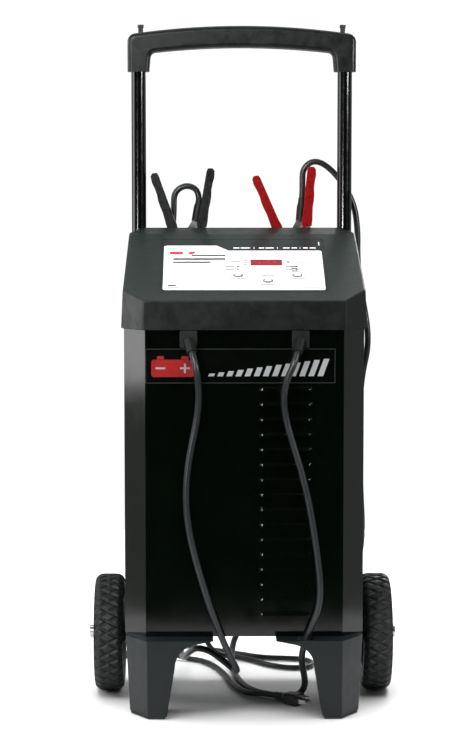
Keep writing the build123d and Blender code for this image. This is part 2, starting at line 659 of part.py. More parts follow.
def grip_sleeve(side, width):
    """A vinyl sleeve with finger waves along its outer edge."""
    steps = 9
    outer = []
    for i in range(steps + 1):
        t = i / steps
        wave = 1.1 * math.sin(t * math.pi * 5)
        outer.append((29.5 + t * 19.6 + wave * (0.3 + 0.7 * t), 13.0 + t * 84.0))
    sleeve = [(15.0, 13.0)] + outer + [(46.5, 101.5), (39.0, 102.0), (36.6, 97.0), (19.0, 30.0), (15.4, 21.0)]
    body = extrude(Plane.XZ * polygon(sleeve), width / 2 + 1.4, both=True)
    body = fillet(body.edges().filter_by(Axis.Y).filter_by(lambda e: e.center().Z > 99), 2.5)
    inner = [(13.0, 12.0), (28.1, 12.0), (31.3, 22.0), (47.8, 97.4), (39.2, 99.5), (17.0, 19.2), (12.0, 14.0)]
    body -= extrude(Plane.XZ * polygon(inner), width / 2 + 0.05, both=True)
    return body if side > 0 else mirror(body, Plane.YZ)


def jaw_contact(side):
    """A copper contact with teeth, inside the jaw."""
    outline = [(2.05, -55.0), (2.05, -22.0), (6.0, -20.0), (13.0, -40.0), (6.0, -54.0)]
    body = extrude(Plane.XZ * polygon(outline), 5.6, both=True)
    for i in range(6):
        body -= Pos(2.0, 0, -26.0 - 5.0 * i) * Rot(0, 45, 0) * Box(2.0, 20, 2.0)
    return body if side > 0 else mirror(body, Plane.YZ)


def clamp_pin():
    """The riveted pivot pin, with a head at each end."""
    pin = rod((0, -9.7, 0), (0, 13.0, 0), 3.0) + rod((0, -11.2, 0), (0, -9.6, 0), 5.0)
    return pin + rod((0, 12.8, 0), (0, 14.3, 0), 5.0)


def clamp_terminal():
    """A lug on the pivot pin with a crimp barrel for the lead."""
    barrel = rod(BARREL[0], BARREL[1], 6.0)
    strap = extrude(Plane.XZ.offset(-12.7) * polygon([(-6, -6), (6, -6), (21, 22), (9, 25), (-6, 6)]), 1.4)
    strap -= Rot(90, 0, 0) * Cylinder(3.0 + FIT, 60)
    return barrel + strap


BARREL = ((13.0, 17.5, 18.0), (19.0, 17.5, 42.0))


def make_clamp(name):
    """A stamped battery clamp: the right half is fixed, the left half turns on the pivot pin."""
    frame = clamp_frame(name)
    keep(name + "_clamp_body", frame * clamp_half(1, 19.0, 1.4))
    keep(name + "_clamp_lever", frame * clamp_half(-1, 15.6, 1.4))
    keep(name + "_clamp_body_grip", frame * grip_sleeve(1, 19.0))
    keep(name + "_clamp_lever_grip", frame * grip_sleeve(-1, 15.6))
    keep(name + "_clamp_lever_contact", frame * jaw_contact(-1))
    helix = Helix(pitch=2.4, height=9.6, radius=6.0)
    wire = Plane(origin=helix @ 0, z_dir=helix % 0) * Circle(0.8)
    spring = Pos(0, 4.8, 0) * Rot(90, 0, 0) * sweep(wire, path=helix, is_frenet=True)
    keep(name + "_clamp_spring", frame * spring)


def make_clamp_pairs():
    """The pieces that are the same on both clamps and stay with their fixed halves."""
    frames = [clamp_frame(name) for name in CLAMPS]
    keep("clamp_body_contacts", Compound(children=[frame * jaw_contact(1) for frame in frames]))
    keep("clamp_pins", Compound(children=[frame * clamp_pin() for frame in frames]))
    keep("clamp_terminals", Compound(children=[frame * clamp_terminal() for frame in frames]))


def make_clamp_holder():
    """A bracket behind the cap with two upright tabs that the clamps bite on."""
    y0 = CAP_BACK + 0.2
    holder = box(-118, 118, y0, y0 + 3, 596, 616)
    for name in CLAMPS:
        holder += clamp_frame(name) * box(-1.6, 1.6, -11.0, 9.0, -78, -42)
    for x, _, z in holder_screw_places():
        holder -= rod((x, y0 - 1, z), (x, y0 + 5, z), 2.0)
    keep("clamp_holder", holder)


# ---------------------------------------------------------------- cables

# Each route is the list of corners of straight runs, joined by arcs as large as the runs allow.
LEAD_FLOOR = LEAD_D / 2 + 0.2
CORD_FLOOR = CORD_D / 2 + 0.2
BLACK_ROUTE = [
    (-75, -131.5, 525.5), (-70.3, -141.3, 509.9), (-66, -139, 484), (-65, -133, 456), (-69, -130, 422),
    (-77, -130, 386), (-83, -130, 346), (-84, -130, 306), (-79, -130, 264), (-69, -130, 223), (-57, -131, 182),
    (-45, -132, 145), (-32, -132, 112), (-20, -129, 84), (-10, -115, 63), (-12, -92, 56), (-27, -70, 64),
    (-48, -50, 76), (-68, -22, 76), (-81, 16, 60), (-88, 60, 43), (-92, 108, 32), (-94, 156, 28), (-97, 198, 36),
    (-102, 224, 62), (-108, 226, 102), (-112, 212, 148), (-112, 196, 208), (-110, 184, 278), (-107, 174, 356),
    (-106, 167, 436), (-107, 161, 514), (-109, 158, 584), (-109, 156, 642), (-106, 155, 688), (-104, 155, 722),
    (-104, 155, 748.8), (-83.5, 155, 760.6), (-62.6, 155, 748.8), (-66.7, 155, 723.5),
]
RED_ROUTE = [
    (75, -131.5, 525.5), (70.3, -141.3, 509.9), (60, -139, 488), (55, -133, 462), (58, -130, 432), (69, -130, 394),
    (81, -130, 355), (92, -130, 310), (100, -130, 264), (106, -130, 220), (109, -131, 184), (106, -132, 155),
    (96, -131, 130), (87, -129, 108), (83, -118, 87), (84, -98, 68), (88, -80, 49), (91, -64, 29), (84, -51, 12),
    (66, -41, LEAD_FLOOR), (43, -28, LEAD_FLOOR), (20, -9, LEAD_FLOOR), (5, 25, LEAD_FLOOR), (-5, 67, LEAD_FLOOR),
    (-11, 112, LEAD_FLOOR), (-14, 156, LEAD_FLOOR), (-15, 194, 12), (-11, 222, 36), (10, 236, 64), (48, 234, 88),
    (92, 222, 108), (134, 202, 126), (168, 178, 148), (187, 160, 182), (189, 153, 228), (186, 150, 278),
    (184, 150, 334), (184, 150, 390), (184, 148, 436), (188, 145, 474), (195, 143, 506), (195, 143, 538),
    (189, 146, 574), (182, 151, 612), (179, 155, 650), (179.5, 155, 689.7), (173.6, 155, 731.3), (152.6, 155, 767.7),
    (128.6, 155, 791.7), (109.3, 155, 796.9), (94.2, 155, 784), (93.8, 155, 764), (93.8, 155, 744.4),
    (92.1, 155, 724.5),
]
CORD_ROUTE = [
    (GLAND_X, 167, 145), (GLAND_X, 186.8, 142.5), (-61, 205, 126), (-62, 217, 96), (-61, 223, 60), (-54, 229, 26),
    (-36, 236, 6), (-6, 232, CORD_FLOOR), (20, 206, CORD_FLOOR), (42, 174, CORD_FLOOR), (74, 152, CORD_FLOOR),
    (104, 154, CORD_FLOOR), (116, 184, CORD_FLOOR), (102, 214, CORD_FLOOR), (70, 221, CORD_FLOOR),
    (36, 226, CORD_FLOOR), (4, 248, CORD_FLOOR), (-28, 274, CORD_FLOOR), (-64, 292, CORD_FLOOR),
    (-94, 326, CORD_FLOOR), (-112, 366, CORD_FLOOR), (-136, 394, CORD_FLOOR), (-168, 404, CORD_FLOOR),
    (-198, 388, CORD_FLOOR), (-213, 354, CORD_FLOOR), (-214, 312, CORD_FLOOR), (-207, 270, CORD_FLOOR),
    (-184, 240, CORD_FLOOR), (-152, 228, CORD_FLOOR), (-126, 244, CORD_FLOOR), (-117, 278, CORD_FLOOR),
    (-119, 322, CORD_FLOOR), (-134, 362, CORD_FLOOR), (-160, 382, CORD_FLOOR), (-186, 370, CORD_FLOOR),
    (-200, 338, CORD_FLOOR), (-200, 296, CORD_FLOOR), (-188, 262, CORD_FLOOR), (-168, 246, CORD_FLOOR),
    (-146, 240, 13.8), (-118, 232, 13.8), (-92, 224, CORD_FLOOR), (-64, 208, CORD_FLOOR), (-46, 178, CORD_FLOOR),
    (-34, 142, CORD_FLOOR), (-25, 104, CORD_FLOOR), (-17, 62, CORD_FLOOR), (-8, 20, CORD_FLOOR),
    (8, -16, CORD_FLOOR), (31.3, -33.6, 9), (47, -46, 9),
]
PLUG_DIRECTION = (0.785, -0.62, 0.0)


def corner_radii(route):
    """Each corner's radius: 0.45 of the shorter run, divided by the tangent of half the turn."""
    radii = []
    for a, b, c in zip(route, route[1:], route[2:]):
        first, second = Vector(*b) - Vector(*a), Vector(*c) - Vector(*b)
        turn = first.get_angle(second)
        radii.append(0.45 * min(first.length, second.length) / math.tan(math.radians(turn / 2)))
    return radii


def make_cable(name, route, diameter):
    """A round cable of one even section along its route."""
    radii = corner_radii(route)
    path = FilletPolyline(*route, radius=radii)
    start = Plane(origin=path @ 0, z_dir=path % 0)
    tube = sweep(start * Circle(diameter / 2), path=path)
    expected = math.pi * diameter**2 / 4 * path.length
    runs = [(Vector(*b) - Vector(*a)).length for a, b in zip(route, route[1:])]
    tight = [(round(r), p) for r, p in zip(radii, route[1:]) if r < 5 * diameter]
    print(name, "length", round(path.length), "volume ratio", round(tube.volume / expected, 4))
    print("  radii", [round(r) for r in radii])
    print("  under 5 diameters", tight, "longest run", round(max(runs)))
    ratio = [round(max(a, b) / min(a, b), 2) for a, b in zip(runs, runs[1:])]
    print("  run ratios over 2:", [(r, route[i + 1]) for i, r in enumerate(ratio) if r > 2.05])
    keep(name, tube)


def make_cables():
    """Bushings, the two battery leads, the mains cord with its strain relief, and the plug."""
    bushings = []
    for side, route in ((-1, BLACK_ROUTE), (1, RED_ROUTE)):
        x = side * BUSHING_X
        y = PANEL_Y - 0.1
        plate = box(x - 12.5, x + 12.5, y - 3, y, BUSHING_Z - 12.5, BUSHING_Z + 12.5)
        plate = fillet(plate.edges().filter_by(Axis.Y), 3)
        neck = rod((x, y - 0.5, BUSHING_Z), (x, y + 4, BUSHING_Z), 7.9)
        snout = rod((x, y - 3, BUSHING_Z - 1), route[0], 7.5)
        bushings.append(plate + neck + (snout & box(x - 20, x + 20, y - 60, y, 0, 700)))
    keep("cable_bushings", Compound(children=bushings))

    y = BACK_Y + SHEET + 0.2
    relief = rod((GLAND_X, y, GLAND_Z), (GLAND_X, y + 4, GLAND_Z), 12)
    relief += rod((GLAND_X, y - 4, GLAND_Z), (GLAND_X, y + 1, GLAND_Z), 9)
    end = CORD_ROUTE[0]
    aim = Vector(*end) - Vector(GLAND_X, y + 3, GLAND_Z)
    base_plane = Plane(origin=(GLAND_X, y + 3, GLAND_Z), z_dir=aim)
    end_plane = Plane(origin=end, z_dir=aim)
    relief += loft([base_plane * Circle(8.5), end_plane * Circle(5.4)])
    keep("cord_strain_relief", relief)

    make_cable("black_lead", BLACK_ROUTE, LEAD_D)
    make_cable("red_lead", RED_ROUTE, LEAD_D)
    make_cable("power_cord", CORD_ROUTE, CORD_D)

    tail = Vector(*CORD_ROUTE[-1])
    along = Vector(*PLUG_DIRECTION).normalized()
    plane = Plane(origin=tail, x_dir=Vector(0, 0, 1).cross(along), z_dir=along)
    plug = loft([
        plane * Circle(5.2),
        plane.offset(16) * RectangleRounded(13, 12, 4),
        plane.offset(23) * RectangleRounded(22, 16, 5),
        plane.offset(38) * RectangleRounded(26, 17.6, 5),
        plane.offset(44) * RectangleRounded(26, 17.6, 5),
    ], ruled=True)
    keep("plug_body", plug)
    blades = []
    for across in (-6.35, 6.35):
        blade = plane.offset(44.05) * Pos(across, -1.5) * Rectangle(1.5, 6.4)
        blades.append(extrude(blade, 16))
    ground = plane.offset(44.05) * Pos(0, 5.0) * Circle(2.4)
    blades.append(extrude(ground, 19))
    keep("plug_blades", Compound(children=blades))


def main():
    make_cabinet()
    make_rear_panel()
    make_screws()
    make_top_cap()
    make_controls()
    make_base()
    make_wheel(-1, "left")
    make_wheel(1, "right")
    make_axle()
    make_handle()
    make_brackets()
    make_internals()
    for name in CLAMPS:
        make_clamp(name)
    make_clamp_pairs()
    make_clamp_holder()
    make_cables()
    os.makedirs("parts", exist_ok=True)
    for name, shape in parts.items():
        export_step(shape, f"parts/{name}.step")
    print(len(parts), "nodes")


main()
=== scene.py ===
import json
import math

import bpy
from mathutils import Matrix, Vector


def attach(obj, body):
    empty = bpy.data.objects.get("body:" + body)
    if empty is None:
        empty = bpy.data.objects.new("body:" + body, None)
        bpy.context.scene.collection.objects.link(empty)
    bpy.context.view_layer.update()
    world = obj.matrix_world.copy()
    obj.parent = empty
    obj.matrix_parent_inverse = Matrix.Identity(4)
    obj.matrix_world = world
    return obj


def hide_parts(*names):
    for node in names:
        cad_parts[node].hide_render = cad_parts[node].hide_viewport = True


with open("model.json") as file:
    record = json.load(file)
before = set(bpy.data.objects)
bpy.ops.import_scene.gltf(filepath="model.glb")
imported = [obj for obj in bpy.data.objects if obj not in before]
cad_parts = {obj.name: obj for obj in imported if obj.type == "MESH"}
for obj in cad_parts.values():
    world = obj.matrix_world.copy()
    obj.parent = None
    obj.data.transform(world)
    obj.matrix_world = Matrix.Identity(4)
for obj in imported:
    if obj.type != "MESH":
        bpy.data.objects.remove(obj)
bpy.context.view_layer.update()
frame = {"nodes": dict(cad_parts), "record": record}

MM = 0.001
NODES = frame["nodes"]
ROOT = "charger"
TAU = 2 * math.pi

# ---------------------------------------------------------------- camera

FOCAL_LENGTH = 105.74
SENSOR_WIDTH = 36.0
CAMERA_AT = (-0.0566, -3.2415, 0.790)
CAMERA_TILT = 84.56
CAMERA_TURN = -0.6575

scene = bpy.context.scene
scene.view_settings.view_transform = "Standard"
lens = bpy.data.cameras.new("view")
lens.lens = FOCAL_LENGTH
lens.sensor_width = SENSOR_WIDTH
camera = bpy.data.objects.new("view", lens)
camera.location = CAMERA_AT
camera.rotation_euler = (math.radians(CAMERA_TILT), 0.0, math.radians(CAMERA_TURN))
scene.collection.objects.link(camera)
scene.camera = camera

# ---------------------------------------------------------------- materials


# Where the noise that clouds a colour and its gloss runs from one end to the other.
CLOUD_LOW, CLOUD_HIGH = 0.3, 0.72
GLOSS_LOW, GLOSS_HIGH = 0.3, 0.7
SMOOTHEST = 0.02


def scaled(colour, factor):
    return (*(min(1.0, c * factor) for c in colour[:3]), 1.0)


def surface(
    name, colour, rough=0.4, metal=0.0, spread=0.25, blotch=14.0, grain=1300.0, relief=0.00003,
    rough_spread=0.08, stretch=(1, 1, 1), coat=0.0, coat_rough=0.05, specular=0.5, scratch=0.0,
):
    """A procedural surface: clouded colour, uneven gloss and a fine moulded or brushed relief."""
    mat = bpy.data.materials.new(name)
    mat.use_nodes = True
    nodes, links = mat.node_tree.nodes, mat.node_tree.links
    shader = nodes["Principled BSDF"]
    shader.inputs["Metallic"].default_value = metal
    shader.inputs["Specular IOR Level"].default_value = specular
    shader.inputs["Coat Weight"].default_value = coat
    shader.inputs["Coat Roughness"].default_value = coat_rough
    coords = nodes.new("ShaderNodeTexCoord")
    mapping = nodes.new("ShaderNodeMapping")
    mapping.inputs["Scale"].default_value = stretch
    links.new(coords.outputs["Object"], mapping.inputs["Vector"])

    def noise(scale, detail, roughness=0.55):
        node = nodes.new("ShaderNodeTexNoise")
        node.inputs["Scale"].default_value = scale
        node.inputs["Detail"].default_value = detail
        node.inputs["Roughness"].default_value = roughness
        links.new(mapping.outputs["Vector"], node.inputs["Vector"])
        return node.outputs["Fac"]

    ramp = nodes.new("ShaderNodeValToRGB")
    ramp.color_ramp.elements[0].position = CLOUD_LOW
    ramp.color_ramp.elements[0].color = scaled(colour, 1 - spread)
    ramp.color_ramp.elements[1].position = CLOUD_HIGH
    ramp.color_ramp.elements[1].color = scaled(colour, 1 + spread)
    links.new(noise(blotch, 6.0), ramp.inputs["Fac"])
    links.new(ramp.outputs["Color"], shader.inputs["Base Color"])

    gloss = nodes.new("ShaderNodeMapRange")
    gloss.inputs["From Min"].default_value = GLOSS_LOW
    gloss.inputs["From Max"].default_value = GLOSS_HIGH
    gloss.inputs["To Min"].default_value = max(SMOOTHEST, rough - rough_spread)
    gloss.inputs["To Max"].default_value = min(1.0, rough + rough_spread)
    links.new(noise(blotch * 5, 4.0, 0.6), gloss.inputs["Value"])
    links.new(gloss.outputs["Result"], shader.inputs["Roughness"])

    bump = nodes.new("ShaderNodeBump")
    bump.inputs["Strength"].default_value = 1.0
    bump.inputs["Distance"].default_value = relief
    links.new(noise(grain, 3.0), bump.inputs["Height"])
    links.new(bump.outputs["Normal"], shader.inputs["Normal"])
    if scratch:
        line = nodes.new("ShaderNodeBump")
        line.inputs["Strength"].default_value = 1.0
        line.inputs["Distance"].default_value = scratch
        links.new(noise(blotch * 12, 2.0), line.inputs["Height"])
        links.new(bump.outputs["Normal"], line.inputs["Normal"])
        links.new(line.outputs["Normal"], shader.inputs["Normal"])
    return mat


GLOSS_BLACK = (0.0012, 0.0034, 0.0014, 1.0)
LOOKS = {
    "gloss_black_sheet": surface(
        "gloss_black_paint", GLOSS_BLACK, 0.12, blotch=6, grain=420, relief=0.000006,
        rough_spread=0.03, specular=0.42),
    "black_steel": surface(
        "satin_black_paint", (0.006, 0.007, 0.007, 1), 0.4, grain=900, relief=0.00002, specular=0.35),
    "cap_plastic": surface(
        "cap_plastic", (0.0065, 0.0115, 0.0095, 1), 0.40, spread=0.1, relief=0.00004, specular=0.3),
    "base_plastic": surface(
        "base_plastic", (0.0065, 0.0105, 0.0125, 1), 0.42, spread=0.14, relief=0.00005, specular=0.28),
    "hub_plastic": surface("hub_plastic", (0.006, 0.009, 0.009, 1), 0.42, relief=0.00004, specular=0.3),
    "tyre_rubber": surface(
        "tyre_rubber", (0.0045, 0.0075, 0.006, 1), 0.55, spread=0.4, blotch=40, relief=0.00008,
        specular=0.35),
    "pad_rubber": surface("pad_rubber", (0.005, 0.006, 0.006, 1), 0.75, spread=0.35, relief=0.00008),
    "bushing_rubber": surface("bushing_rubber", (0.0035, 0.006, 0.005, 1), 0.5, relief=0.00004, specular=0.3),
    "lead_jacket": surface(
        "lead_jacket", (0.012, 0.018, 0.0195, 1), 0.38, spread=0.15, blotch=60, grain=1800, relief=0.00002),
    "cord_jacket": surface(
        "cord_jacket", (0.006, 0.009, 0.0085, 1), 0.42, spread=0.15, blotch=60, grain=1800, relief=0.00002,
        specular=0.35),
    "bright_metal": surface(
        "bright_metal", (0.60, 0.60, 0.58, 1), 0.24, 1.0, 0.1, 60, 700, 0.000012, stretch=(1, 1, 6)),
    "dark_screw": surface("dark_screw", (0.07, 0.07, 0.072, 1), 0.34, 1.0, 0.25, 120, 900, 0.00001),
    "tube_enamel": surface(
        "tube_enamel", (0.0022, 0.0032, 0.0028, 1), 0.15, blotch=20, grain=500, relief=0.00001,
        rough_spread=0.04, specular=0.45),
    "grip_plastic": surface(
        "grip_plastic", (0.0045, 0.0085, 0.006, 1), 0.38, spread=0.15, relief=0.00005, specular=0.35),
    "label_film": surface(
        "label_film", (0.0065, 0.011, 0.012, 1), 0.30, spread=0.08, grain=2200, relief=0.00001, rough_spread=0.03,
        specular=0.3),
    "plate_film": surface(
        "plate_film", (0.0014, 0.0032, 0.0016, 1), 0.2, grain=1500, relief=0.000006, rough_spread=0.03,
        specular=0.24),
    "red_lens": surface(
        "red_lens", (0.24, 0.014, 0.022, 1), 0.25, spread=0.08, blotch=30, grain=900, relief=0.000006,
        specular=0.15),
    "light_lens": surface("light_lens", (0.45, 0.02, 0.03, 1), 0.18, spread=0.1, blotch=90, coat=0.5),
    "board_green": surface("board_green", (0.012, 0.10, 0.03, 1), 0.35, spread=0.3, blotch=160),
    "button_plastic": surface(
        "button_plastic", (0.72, 0.74, 0.75, 1), 0.45, spread=0.04, blotch=120, relief=0.00003),
    "core_steel": surface(
        "core_steel", (0.13, 0.125, 0.12, 1), 0.5, 0.8, 0.35, 25, 600, 0.00006, stretch=(1, 40, 1)),
    "winding_copper": surface(
        "winding_copper", (0.45, 0.16, 0.06, 1), 0.32, 0.9, 0.25, 40, 300, 0.0002, stretch=(1, 1, 5)),
    "zinc_steel": surface("zinc_steel", (0.47, 0.46, 0.42, 1), 0.36, 1.0, 0.2, 90, 900, 0.00002),
    "bare_aluminium": surface("bare_aluminium", (0.60, 0.61, 0.62, 1), 0.33, 1.0, 0.1, 50, 700, 0.00002),
    "diode_metal": surface("diode_metal", (0.45, 0.44, 0.43, 1), 0.3, 1.0, 0.15, 90),
    "fan_plastic": surface("fan_plastic", (0.006, 0.007, 0.007, 1), 0.38, relief=0.00003),
    "contact_copper": surface(
        "contact_copper", (0.55, 0.22, 0.10, 1), 0.34, 1.0, 0.3, 110, 800, 0.00003, scratch=0.00002),
    "clamp_steel": surface(
        "clamp_steel", (0.30, 0.30, 0.30, 1), 0.38, 1.0, 0.25, 70, 700, 0.00003, scratch=0.00001),
    "spring_steel": surface("spring_steel", (0.34, 0.34, 0.35, 1), 0.3, 1.0, 0.2, 120, 900, 0.00001),
    "black_vinyl": surface(
        "black_vinyl", (0.0040, 0.0065, 0.0045, 1), 0.34, spread=0.2, blotch=45, relief=0.00005,
        specular=0.4),
    "red_vinyl": surface(
        "red_vinyl", (0.56, 0.0016, 0.003, 1), 0.3, spread=0.05, blotch=45, relief=0.00002,
        specular=0.3),
}


def ink(name, colour, rough=0.4, spread=0.1, blotch=200):
    """A flat printing ink."""
    return surface(name, colour, rough, spread=spread, blotch=blotch, relief=0.000008)


PRINT_WHITE = ink("print_white", (0.80, 0.81, 0.82, 1), 0.34, spread=0.02, blotch=30)
PRINT_GREY = ink("print_grey", (0.07, 0.073, 0.076, 1))
PRINT_DARK = ink("print_dark", (0.012, 0.012, 0.014, 1))
PRINT_RED = ink("print_red", (0.70, 0.004, 0.006, 1), 0.35, blotch=60)
PRINT_LINE = ink("print_line", (0.045, 0.060, 0.055, 1))

# ---------------------------------------------------------------- helpers


def place(obj, body, slot, material=None, replaces=()):
    """Gives a new piece its material, the one given or the one for its slot, and its body, and hides the CAD nodes
    that it stands for.
    """
    if obj.name not in scene.collection.objects:
        scene.collection.objects.link(obj)
    obj.data.materials.clear()
    obj.data.materials.append(material or LOOKS[slot])
    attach(obj, body)
    if replaces:
        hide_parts(*replaces)
    return obj


def mesh_object(name, vertices, faces, smooth=True):
    """A new mesh piece, with its vertices in metres in the part's own frame."""
    mesh = bpy.data.meshes.new(name)
    mesh.from_pydata([tuple(v) for v in vertices], [], faces)
    mesh.validate()
    if smooth:
        mesh.shade_smooth()
    obj = bpy.data.objects.new(name, mesh)
    scene.collection.objects.link(obj)
    return obj


WELD_GAP = 0.02
EDGE_ANGLE = 32


def soften(obj, width, segments=2):
    """Small round edges on a piece, with even shading on its flat faces; width in millimetres."""
    weld = obj.modifiers.new("weld", "WELD")
    weld.merge_threshold = WELD_GAP * MM
    bevel = obj.modifiers.new("edges", "BEVEL")
    bevel.width = width * MM
    bevel.segments = segments
    bevel.limit_method = "ANGLE"
    bevel.angle_limit = math.radians(EDGE_ANGLE)
    even = obj.modifiers.new("flat_faces", "WEIGHTED_NORMAL")
    even.mode = "FACE_AREA"
    even.weight = 100
    obj.data.shade_smooth()


# ---------------------------------------------------------------- cables

BLACK_ROUTE = [
    (-75, -131.5, 525.5), (-70.3, -141.3, 509.9), (-66, -139, 484), (-65, -133, 456), (-69, -130, 422),
    (-77, -130, 386), (-83, -130, 346), (-84, -130, 306), (-79, -130, 264), (-69, -130, 223), (-57, -131, 182),
    (-45, -132, 145), (-32, -132, 112), (-20, -129, 84), (-10, -115, 63), (-12, -92, 56), (-27, -70, 64),
    (-48, -50, 76), (-68, -22, 76), (-81, 16, 60), (-88, 60, 43), (-92, 108, 32), (-94, 156, 28), (-97, 198, 36),
    (-102, 224, 62), (-108, 226, 102), (-112, 212, 148), (-112, 196, 208), (-110, 184, 278), (-107, 174, 356),
    (-106, 167, 436), (-107, 161, 514), (-109, 158, 584), (-109, 156, 642), (-106, 155, 688), (-104, 155, 722),
    (-104, 155, 748.8), (-83.5, 155, 760.6), (-62.6, 155, 748.8), (-66.7, 155, 723.5),
]
LEAD_FLOOR = 4.95
RED_ROUTE = [
    (75, -131.5, 525.5), (70.3, -141.3, 509.9), (60, -139, 488), (55, -133, 462), (58, -130, 432), (69, -130, 394),
    (81, -130, 355), (92, -130, 310), (100, -130, 264), (106, -130, 220), (109, -131, 184), (106, -132, 155),
    (96, -131, 130), (87, -129, 108), (83, -118, 87), (84, -98, 68), (88, -80, 49), (91, -64, 29), (84, -51, 12),
    (66, -41, LEAD_FLOOR), (43, -28, LEAD_FLOOR), (20, -9, LEAD_FLOOR), (5, 25, LEAD_FLOOR), (-5, 67, LEAD_FLOOR),
    (-11, 112, LEAD_FLOOR), (-14, 156, LEAD_FLOOR), (-15, 194, 12), (-11, 222, 36), (10, 236, 64), (48, 234, 88),
    (92, 222, 108), (134, 202, 126), (168, 178, 148), (187, 160, 182), (189, 153, 228), (186, 150, 278),
    (184, 150, 334), (184, 150, 390), (184, 148, 436), (188, 145, 474), (195, 143, 506), (195, 143, 538),
    (189, 146, 574), (182, 151, 612), (179, 155, 650), (179.5, 155, 689.7), (173.6, 155, 731.3), (152.6, 155, 767.7),
    (128.6, 155, 791.7), (109.3, 155, 796.9), (94.2, 155, 784), (93.8, 155, 764), (93.8, 155, 744.4),
    (92.1, 155, 724.5),
]
CORD_FLOOR = 4.2
CORD_ROUTE = [
    (-60, 167, 145), (-60, 186.8, 142.5), (-61, 205, 126), (-62, 217, 96), (-61, 223, 60), (-54, 229, 26),
    (-36, 236, 6), (-6, 232, CORD_FLOOR), (20, 206, CORD_FLOOR), (42, 174, CORD_FLOOR), (74, 152, CORD_FLOOR),
    (104, 154, CORD_FLOOR), (116, 184, CORD_FLOOR), (102, 214, CORD_FLOOR), (70, 221, CORD_FLOOR),
    (36, 226, CORD_FLOOR), (4, 248, CORD_FLOOR), (-28, 274, CORD_FLOOR), (-64, 292, CORD_FLOOR),
    (-94, 326, CORD_FLOOR), (-112, 366, CORD_FLOOR), (-136, 394, CORD_FLOOR), (-168, 404, CORD_FLOOR),
    (-198, 388, CORD_FLOOR), (-213, 354, CORD_FLOOR), (-214, 312, CORD_FLOOR), (-207, 270, CORD_FLOOR),
    (-184, 240, CORD_FLOOR), (-152, 228, CORD_FLOOR), (-126, 244, CORD_FLOOR), (-117, 278, CORD_FLOOR),
    (-119, 322, CORD_FLOOR), (-134, 362, CORD_FLOOR), (-160, 382, CORD_FLOOR), (-186, 370, CORD_FLOOR),
    (-200, 338, CORD_FLOOR), (-200, 296, CORD_FLOOR), (-188, 262, CORD_FLOOR), (-168, 246, CORD_FLOOR),
    (-146, 240, 13.8), (-118, 232, 13.8), (-92, 224, CORD_FLOOR), (-64, 208, CORD_FLOOR), (-46, 178, CORD_FLOOR),
    (-34, 142, CORD_FLOOR), (-25, 104, CORD_FLOOR), (-17, 62, CORD_FLOOR), (-8, 20, CORD_FLOOR),
    (8, -16, CORD_FLOOR), (31.3, -33.6, 9), (47, -46, 9),
]


def cable(name, node, route, diameter, slot):
    """A round flexible cable along one smooth line through its control points."""
    curve = bpy.data.curves.new(name, "CURVE")
    curve.dimensions = "3D"
    curve.resolution_u = 8
    curve.bevel_depth = diameter / 2
    curve.bevel_resolution = 5
    curve.use_fill_caps = True
    spline = curve.splines.new("NURBS")
    spline.points.add(len(route) - 1)
    for point, (x, y, z) in zip(spline.points, route):
        point.co = (x * MM, y * MM, z * MM, 1.0)
    spline.order_u = 3
    spline.use_endpoint_u = True
    return place(bpy.data.objects.new(name, curve), ROOT, slot, replaces=[node])


black_lead = cable("black_battery_lead", "black_lead", BLACK_ROUTE, 0.0095, "lead_jacket")
red_lead = cable("red_battery_lead", "red_lead", RED_ROUTE, 0.0095, "lead_jacket")
mains_cord = cable("mains_cord", "power_cord", CORD_ROUTE, 0.008, "cord_jacket")

# ---------------------------------------------------------------- carried-over CAD nodes

# Each node's edge width in millimetres; the nodes that are not listed have a plain edge.
EDGES = {
    "cabinet": 0.25, "rear_panel": 0.3, "top_cap": 0.4, "base": 1.6, "foot_pads": 0.8, "left_hub": 0.8,
    "right_hub": 0.8, "handle_tubes": 0.3, "handle_grip": 0.4, "tube_brackets": 0.6, "tube_end_plugs": 0.6,
    "clamp_holder": 0.5, "cable_bushings": 0.7, "axle_caps": 0.6, "wheel_washers": 0.25, "plug_body": 0.9,
    "plug_blades": 0.3, "case_screws": 0.5, "tube_screws": 0.5, "mounting_bolts": 0.4, "circuit_breaker": 0.5,
    "black_clamp_body": 0.35, "black_clamp_lever": 0.35, "red_clamp_body": 0.35, "red_clamp_lever": 0.35,
    "black_clamp_body_grip": 0.9, "black_clamp_lever_grip": 0.9, "red_clamp_body_grip": 0.9,
    "red_clamp_lever_grip": 0.9, "clamp_pins": 0.6, "clamp_terminals": 0.35, "front_nameplate": 0.15,
}
PLAIN_EDGE = 0.3
for part in frame["record"]["subparts"]:
    mesh = NODES[part["node"]].data
    mesh.materials.clear()
    mesh.materials.append(LOOKS[part["material_slot"]])
for node, obj in NODES.items():
    soften(obj, EDGES.get(node, PLAIN_EDGE))

# ---------------------------------------------------------------- tyres

WHEEL_CENTRE = (0.200, 0.038, 0.0875)
TREAD_PITCHES = 34
STEPS_PER_PITCH = 14
GROOVE_SLANT = 30.0
GROOVE_FLOOR = 0.08
GROOVE_WALL = 0.09
GROOVE_DEPTH = 2.3
CROWN_RADIUS = 87.4
CROWN_HALF = 20.2
CROWN_STEPS = 26
FLAT_HALF = 10.0
SHOULDER_DROP = 5.2
BORE_RADIUS = 60.2
BORE_HALF = 16.0


def groove(around, across):
    """How far the tread lies below the crown, from 0 to 1, for diagonal grooves that cross in diamonds."""
    deepest = 0.0
    for slant in (around + across / GROOVE_SLANT, around - across / GROOVE_SLANT):
        near = abs(slant - round(slant))
        deepest = max(deepest, 1.0 - min(1.0, max(0.0, (near - GROOVE_FLOOR) / GROOVE_WALL)))
    return deepest


